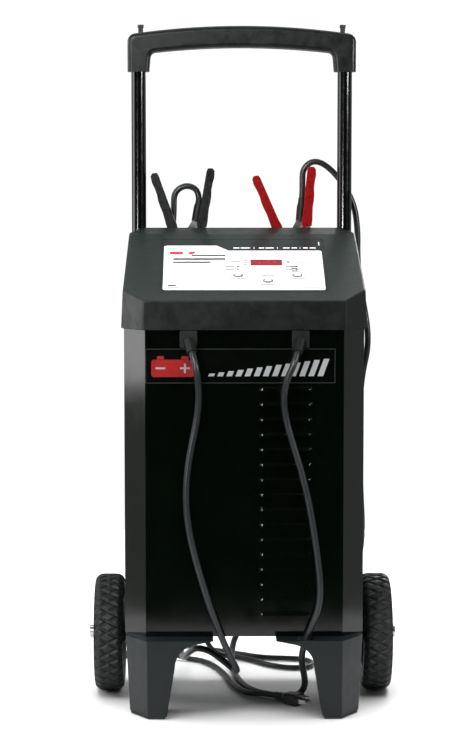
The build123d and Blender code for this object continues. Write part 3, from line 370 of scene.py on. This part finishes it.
def make_tyre(name, side, body, node):
    """A solid rubber tyre with a moulded bead line on the wall and a diamond tread."""
    wall = [
        (-19.6, BORE_RADIUS), (-20.4, 61.5), (-20.7, 66.0), (-21.6, 67.0), (-21.8, 69.5), (-21.1, 70.6), (-21.5, 75.0),
        (-21.8, 78.0), (-21.0, 81.0),
    ]
    crown = [-CROWN_HALF + 2 * CROWN_HALF * i / CROWN_STEPS for i in range(CROWN_STEPS + 1)]
    rings = [(a, r, False) for a, r in wall]
    for a in crown:
        fall = max(0.0, abs(a) - FLAT_HALF) / (CROWN_HALF - FLAT_HALF)
        rings.append((a, CROWN_RADIUS - SHOULDER_DROP * fall ** 2.2, True))
    rings += [(-a, r, False) for a, r in reversed(wall)]
    rings += [(BORE_HALF, BORE_RADIUS, False), (-BORE_HALF, BORE_RADIUS, False)]
    count = TREAD_PITCHES * STEPS_PER_PITCH
    cx, cy, cz = side * WHEEL_CENTRE[0], WHEEL_CENTRE[1], WHEEL_CENTRE[2]
    vertices, faces = [], []
    for i in range(count):
        angle = TAU * i / count
        for across, radius, tread in rings:
            if tread:
                radius -= GROOVE_DEPTH * groove(i / STEPS_PER_PITCH, across)
            vertices.append((
                cx + across * MM, cy + radius * MM * math.cos(angle), cz + radius * MM * math.sin(angle)))
    n = len(rings)
    for i in range(count):
        j = (i + 1) % count
        for k in range(n):
            m = (k + 1) % n
            faces.append((i * n + k, i * n + m, j * n + m, j * n + k))
    tyre = mesh_object(name, vertices, faces)
    tyre.data.set_sharp_from_angle(angle=math.radians(40))
    return place(tyre, body, "tyre_rubber", replaces=[node])


make_tyre("left_tread_tyre", -1, "left_wheel", "left_tyre")
make_tyre("right_tread_tyre", 1, "right_wheel", "right_tyre")

# ---------------------------------------------------------------- terminal sleeves and relief ribs


def turned(name, start, end, outlines, steps=32):
    """Rings turned about the line from start to end; each outline is a closed loop of (along, radius)."""
    a, b = Vector(start), Vector(end)
    along = (b - a).normalized()
    side = along.orthogonal().normalized()
    other = along.cross(side)
    vertices, faces = [], []
    for outline in outlines:
        n, first = len(outline), len(vertices)
        for i in range(steps):
            turn = TAU * i / steps
            spoke = side * math.cos(turn) + other * math.sin(turn)
            vertices += [(a + along * t + spoke * r) * MM for t, r in outline]
            j = (i + 1) % steps
            for k in range(n):
                m = (k + 1) % n
                faces.append((first + i * n + k, first + i * n + m, first + j * n + m, first + j * n + k))
    obj = mesh_object(name, vertices, faces)
    obj.data.set_sharp_from_angle(angle=math.radians(50))
    return obj


SLEEVE = [
    (0.0, 6.15), (0.3, 6.9), (3.0, 7.1), (18.0, 7.1), (24.0, 6.9), (28.0, 5.9), (36.0, 5.6), (37.0, 5.0), (25.0, 5.0),
    (24.5, 6.15),
]
TERMINALS = {
    "black": ((-70.2, 155.0, 702.9), (-66.7, 155.0, 723.5)),
    "red": ((90.4, 155.0, 702.9), (92.1, 155.0, 724.5)),
}
for colour, (low, high) in TERMINALS.items():
    place(turned(colour + "_terminal_sleeve", low, high, [SLEEVE]), ROOT, "bushing_rubber")
NODES["clamp_terminals"].data.materials[0] = surface(
    "tinned_copper", (0.20, 0.19, 0.18, 1), 0.4, 1.0, 0.3, 90, 700, 0.00003, scratch=0.00002)


def ribs(start_radius, end_radius, length, count, width, height):
    """Outlines of round ribs that stand on a taper, sunk a little into it."""
    sunk = 0.8
    half = width / 2
    loops = []
    for i in range(count):
        t = (i + 0.5) * length / count
        r = start_radius + (end_radius - start_radius) * t / length
        loops.append([
            (t - half, r - sunk), (t - half, r + 0.6 * height), (t - 0.5 * half, r + height),
            (t + 0.5 * half, r + height), (t + half, r + 0.6 * height), (t + half, r - sunk)])
    return loops


RELIEF_FOOT = (-60.0, 131.0, 149.4)
RELIEF_MOUTH = (-60.0, 165.0, 145.2)
relief_ribs = turned(
    "mains_relief_ribs", RELIEF_FOOT, RELIEF_MOUTH,
    ribs(start_radius=8.3, end_radius=5.7, length=32.0, count=6, width=3.0, height=0.9))
place(relief_ribs, ROOT, "bushing_rubber")

# ---------------------------------------------------------------- painted shade in the seam between the cap and the cabinet


# Outline and heights of the dark strip of painted seam shade under the cap's edge.
SEAM_SHADE_HALF = 174.62
SEAM_SHADE_FRONT = -118.12
SEAM_SHADE_BACK = 122.1
SEAM_SHADE_HEIGHTS = (555.9, 557.1)
FRONT_FOLD = (31, 34)
REAR_FOLD = (24, 28)


def make_seam_shade():
    """A dark strip round the cabinet at the cap's lower edge: painted shade that stands for the shadowed seam under
    the cap.
    """
    plan = [
        (-SEAM_SHADE_HALF + FRONT_FOLD[0], SEAM_SHADE_FRONT), (SEAM_SHADE_HALF - FRONT_FOLD[0], SEAM_SHADE_FRONT),
        (SEAM_SHADE_HALF, SEAM_SHADE_FRONT + FRONT_FOLD[1]), (SEAM_SHADE_HALF, SEAM_SHADE_BACK - REAR_FOLD[1]),
        (SEAM_SHADE_HALF - REAR_FOLD[0], SEAM_SHADE_BACK), (-SEAM_SHADE_HALF + REAR_FOLD[0], SEAM_SHADE_BACK),
        (-SEAM_SHADE_HALF, SEAM_SHADE_BACK - REAR_FOLD[1]), (-SEAM_SHADE_HALF, SEAM_SHADE_FRONT + FRONT_FOLD[1]),
    ]
    inner = [(x * 0.985, y * 0.985 + 0.03) for x, y in plan]
    vertices = [(x * MM, y * MM, z * MM) for x, y in plan + inner for z in SEAM_SHADE_HEIGHTS]
    faces, n = [], len(plan)
    for i in range(n):
        j = (i + 1) % n
        a, b, c, d = 2 * i, 2 * j, 2 * (n + i), 2 * (n + j)
        faces += [(a, b, b + 1, a + 1), (c, c + 1, d + 1, d), (a, c, d, b), (a + 1, b + 1, d + 1, c + 1)]
    return mesh_object("cap_seam_painted_shade", vertices, faces, smooth=False)


# The painted seam shade strip is given the matte dark rubber look of the foot pads.
place(make_seam_shade(), ROOT, "pad_rubber")

# ---------------------------------------------------------------- printed label and nameplate

# The cap's slope: the direction up it, the way it faces and the middle of its lower edge.
SLOPE_UP = Vector((0.0, 0.9220, 0.3873))
SLOPE_OUT = Vector((0.0, -0.3873, 0.9220))
SLOPE_FOOT = Vector((0.0, -0.1215, 0.5980))


def plane_matrix(origin, up, out):
    """Takes a flat drawing's x, y and thickness to a plane on the part."""
    side = up.cross(out)
    rows = [(side[i], up[i], out[i], origin[i]) for i in range(3)]
    return Matrix([*rows, (0.0, 0.0, 0.0, 1.0)])


def on_slope(above):
    return plane_matrix(SLOPE_FOOT + SLOPE_OUT * above * MM, SLOPE_UP, SLOPE_OUT)


def on_plate(y):
    return plane_matrix(Vector((0.0, y * MM, 0.0)), Vector((0, 0, 1)), Vector((0, -1, 0)))


CORNER_STEPS = 6
LOWER_RIGHT, UPPER_RIGHT, UPPER_LEFT, LOWER_LEFT = range(4)


def rounded(x0, x1, y0, y1, radius, steps=CORNER_STEPS):
    """A rectangle's outline with round corners, from the lower right one round to the left."""
    corners = [(x1, y0, -90), (x1, y1, 0), (x0, y1, 90), (x0, y0, 180)]
    points = []
    for x, y, start in corners:
        cx = x - radius if x == x1 else x + radius
        cy = y - radius if y == y1 else y + radius
        for i in range(steps + 1):
            a = math.radians(start + 90 * i / steps)
            points.append((cx + radius * math.cos(a), cy + radius * math.sin(a)))
    return points


def corner(outline, which):
    """The points of one corner of an outline that rounded made."""
    count = CORNER_STEPS + 1
    return outline[which * count:(which + 1) * count]


def disc(x, y, radius, steps=28):
    return [(x + radius * math.cos(TAU * i / steps), y + radius * math.sin(TAU * i / steps)) for i in range(steps)]


def bar(x0, x1, y0, y1, lean=0.0):
    """A rectangle's outline, or a slanted one if it leans."""
    return [(x0, y0), (x1, y0), (x1 + lean, y1), (x0 + lean, y1)]


def cross(x, y, reach, half):
    """A plus sign's outline."""
    ring = [(half, half), (reach, half), (reach, -half), (half, -half), (half, -reach), (-half, -reach)]
    ring += [(-half, -half), (-reach, -half), (-reach, half), (-half, half), (-half, reach), (half, reach)]
    return [(x + dx, y + dy) for dx, dy in ring]


def printed(name, outlines, matrix, material, slot, thickness=0.08):
    """A thin printed layer; an outline inside another one is a hole in it."""
    curve = bpy.data.curves.new(name, "CURVE")
    curve.dimensions = "2D"
    curve.fill_mode = "BOTH"
    curve.extrude = thickness * MM / 2
    for outline in outlines:
        spline = curve.splines.new("POLY")
        spline.points.add(len(outline) - 1)
        for point, (x, y) in zip(spline.points, outline):
            point.co = (x * MM, y * MM, 0.0, 1.0)
        spline.use_cyclic_u = True
    source = bpy.data.objects.new(name + "_outline", curve)
    scene.collection.objects.link(source)
    bpy.context.view_layer.update()
    mesh = bpy.data.meshes.new_from_object(source.evaluated_get(bpy.context.evaluated_depsgraph_get()))
    bpy.data.objects.remove(source)
    mesh.name = name
    mesh.transform(matrix)
    obj = bpy.data.objects.new(name, mesh)
    return place(obj, ROOT, slot, material)


# The label, in millimetres from the slope's middle line and up from its lower edge.
BUTTONS = [(-8.0, 84.0), (35.0, 66.0), (78.0, 84.0)]
LIGHTS = [(66.0, 128.5), (-8.0, 104.0), (-8.0, 113.0), (78.0, 104.0), (78.0, 113.0)]
WINDOW = bar(34 - 23.3, 34 + 23.3, 127 - 10.3, 127 + 10.3)

LABEL_LEFT, LABEL_RIGHT, LABEL_LOW, LABEL_HIGH = -117.0, 117.0, 35.0, 168.3
LABEL_TAB_HIGH = 185.8
LABEL_CORNER = 4.0
BUTTON_HOLE, LIGHT_HOLE = 5.1, 2.3
INK_SUNK = -0.05

panel = rounded(LABEL_LEFT, LABEL_RIGHT, LABEL_LOW, LABEL_HIGH, LABEL_CORNER)
tab = rounded(LABEL_LEFT, LABEL_RIGHT, LABEL_LOW, LABEL_TAB_HIGH, LABEL_CORNER)
white_area = [(-21.4, LABEL_HIGH), (-39.0, LABEL_TAB_HIGH), *corner(tab, UPPER_LEFT)]
for which in (LOWER_LEFT, LOWER_RIGHT, UPPER_RIGHT):
    white_area += corner(panel, which)
holes = [WINDOW]
holes += [disc(x, s, BUTTON_HOLE) for x, s in BUTTONS]
holes += [disc(x, s, LIGHT_HOLE) for x, s in LIGHTS]
printed("label_white_area", [white_area] + holes, on_slope(INK_SUNK), PRINT_WHITE, "label_film")

grey = []
for x, s in BUTTONS:
    grey += [disc(x, s, 7.6), disc(x, s, 5.5), bar(x - 11, x + 11, s - 13.5, s - 11)]
for x, s in LIGHTS[1:]:
    reach = 19 if x < 0 else 17
    grey.append(bar(x - reach, x - 5, s - 1.4, s + 1.4))
grey += [bar(74, 97, 127.0, 130.0), bar(-18, -4, 127.6, 131.0)]
grey += [bar(0, 6, s, s + 2.6) for s in (118.5, 125.6, 132.8)]
grey += [bar(25, 45, 80, 83), bar(-110, -92, 41, 43.4), bar(88, 110, 43, 45.4), bar(-110, -92, 176, 179)]
printed("label_grey_marks", grey, on_slope(0.0), PRINT_GREY, "label_film")

dark = [bar(-103, -26, 136.0, 142.0), bar(-103, -48, 125.5, 130.5), bar(-76, -26, 149, 153.6)]
dark += [bar(-110, -98, 48, 52.6)]
dark += [bar(70, 79, s, s + 4.2) for s in (96.0, 104.0, 112.0)]
printed("label_dark_marks", dark, on_slope(0.0), PRINT_DARK, "label_film")

red = [rounded(-109, -88, 155.0, 165, 4.6), bar(-83, -74, 155.0, 165, 5.0), bar(70.4, 73.0, 127.0, 130.0)]
printed("label_red_marks", red, on_slope(0.0), PRINT_RED, "label_film")

# Rows of strokes in the dark band over the white area: where each starts and how wide it is.
BAND_STROKES = ((-14, 9), (-3, 14), (24, 8), (34, 12), (60, 10), (73, 8), (90, 7), (100, 9))
band = [bar(x, x + width, 176.0, 179.4) for x, width in BAND_STROKES]
band += [bar(x, x + 0.9, 175.0, 180.5) for x in (16.5, 51.5, 85.0)]
band += [bar(113.6, 114.8, 186.0, 199.0)]
printed("band_white_marks", band, on_slope(INK_SUNK), PRINT_WHITE, "label_film")

PLATE_LEFT, PLATE_RIGHT, PLATE_LOW, PLATE_HIGH = -142.0, 130.0, 479.5, 530.0
PLATE_Y = -118.72
outline = [
    bar(PLATE_LEFT + gap, PLATE_RIGHT - gap, PLATE_LOW + gap, PLATE_HIGH - gap) for gap in (0.6, 1.4)]
printed("nameplate_border", outline, on_plate(PLATE_Y), PRINT_LINE, "plate_film")
emblem = [rounded(-133, -72, 489, 514, 4.0), bar(-125, -115, 514.3, 519), bar(-90, -80, 514.3, 519)]
marks = [bar(-127, -113, 500.2, 503.0), cross(-85.0, 501.6, 7.0, 1.4)]
printed("nameplate_battery", emblem + marks, on_plate(PLATE_Y), PRINT_RED, "plate_film")
LEVEL_BARS, LEVEL_START, LEVEL_PITCH, LEVEL_WIDTH = 13, -52.0, 13.0, 8.0
level = []
for i in range(LEVEL_BARS):
    left = LEVEL_START + LEVEL_PITCH * i
    level.append(bar(left, left + LEVEL_WIDTH, 490.0, 494.0 + 1.75 * i, 2.0 + 0.6 * i))
printed("nameplate_marks", marks + level, on_plate(PLATE_Y), PRINT_WHITE, "plate_film")

# ---------------------------------------------------------------- floor and light

FLOOR_BELOW = 0.0006
floor_mat = surface(
    "floor", (0.86, 0.86, 0.86, 1), 0.75, spread=0.01, blotch=3, grain=60, relief=0.00002, specular=0.2)
floor_points = [Vector((x, y, -FLOOR_BELOW)) for x, y in rounded(-0.85, 0.85, -0.72, 1.5, 0.4, 12)]
floor = mesh_object("floor", floor_points, [tuple(range(len(floor_points)))], smooth=False)
floor.data.materials.append(floor_mat)

# The room's brightness from front to back as the object sees it; the camera sees plain white.
ROOM_FRONT, ROOM_BACK = (0.012, 0.014, 0.013, 1), (0.5, 0.5, 0.5, 1)
ROOM_STOPS = ((0.30, 0.02), (0.47, 0.12), (0.56, 0.40))
BACKDROP_STRENGTH = 1.05

world = bpy.data.worlds.new("studio")
scene.world = world
world.use_nodes = True
tree = world.node_tree
tree.nodes.clear()
direction = tree.nodes.new("ShaderNodeTexCoord")
split = tree.nodes.new("ShaderNodeSeparateXYZ")
depth = tree.nodes.new("ShaderNodeMapRange")
depth.inputs["From Min"].default_value = -1.0
depth.inputs["From Max"].default_value = 1.0
shade = tree.nodes.new("ShaderNodeValToRGB")
shade.color_ramp.elements[0].color = ROOM_FRONT
shade.color_ramp.elements[1].color = ROOM_BACK
for position, value in ROOM_STOPS:
    shade.color_ramp.elements.new(position).color = (value, value * 1.02, value * 1.01, 1)
studio = tree.nodes.new("ShaderNodeBackground")
backdrop = tree.nodes.new("ShaderNodeBackground")
backdrop.inputs["Color"].default_value = (1.0, 1.0, 1.0, 1)
backdrop.inputs["Strength"].default_value = BACKDROP_STRENGTH
seen = tree.nodes.new("ShaderNodeLightPath")
mix = tree.nodes.new("ShaderNodeMixShader")
out = tree.nodes.new("ShaderNodeOutputWorld")
tree.links.new(direction.outputs["Generated"], split.inputs["Vector"])
tree.links.new(split.outputs["Y"], depth.inputs["Value"])
tree.links.new(depth.outputs["Result"], shade.inputs["Fac"])
tree.links.new(shade.outputs["Color"], studio.inputs["Color"])
tree.links.new(seen.outputs["Is Camera Ray"], mix.inputs["Fac"])
tree.links.new(studio.outputs["Background"], mix.inputs[1])
tree.links.new(backdrop.outputs["Background"], mix.inputs[2])
tree.links.new(mix.outputs["Shader"], out.inputs["Surface"])


def softbox(name, position, target, width, height, power):
    """A rectangular studio light aimed at a point; sizes in metres and power in watts."""
    light = bpy.data.lights.new(name, "AREA")
    light.shape = "RECTANGLE"
    light.size, light.size_y = width, height
    light.energy = power
    obj = bpy.data.objects.new(name, light)
    obj.location = position
    aim = Vector(target) - Vector(position)
    obj.rotation_euler = aim.to_track_quat("-Z", "Y").to_euler()
    obj.visible_camera = False
    scene.collection.objects.link(obj)
    return obj


overhead = softbox("top_light", (0.0, -0.1, 3.2), (0.0, 0.1, 0.0), 3.4, 3.4, 200)
overhead.visible_glossy = False
softbox("top_gloss", (0.0, 0.9, 2.8), (0.0, 0.1, 0.6), 1.6, 0.7, 8)
softbox("left_light", (-1.45, 0.12, 1.12), (0.0, 0.12, 1.12), 0.8, 1.55, 17)
# Small lights that show only as glints on polished edges and louvres.
for name, position, width, height, power in (
    ("right_sparkle", (1.9, -1.5, 1.2), 0.3, 0.3, 34),
    ("left_sparkle", (-0.9, -2.2, 1.75), 0.32, 0.32, 55),
    ("low_sparkle", (-1.1, -2.0, 0.55), 0.3, 0.2, 18),
):
    softbox(name, position, (0.0, 0.0, 0.4), width, height, power).visible_diffuse = False
softbox("rear_light", (0.9, 2.4, 1.6), (0.0, 0.1, 0.4), 0.9, 1.2, 26)

# ---------------------------------------------------------------- scene update

bpy.context.view_layer.update()
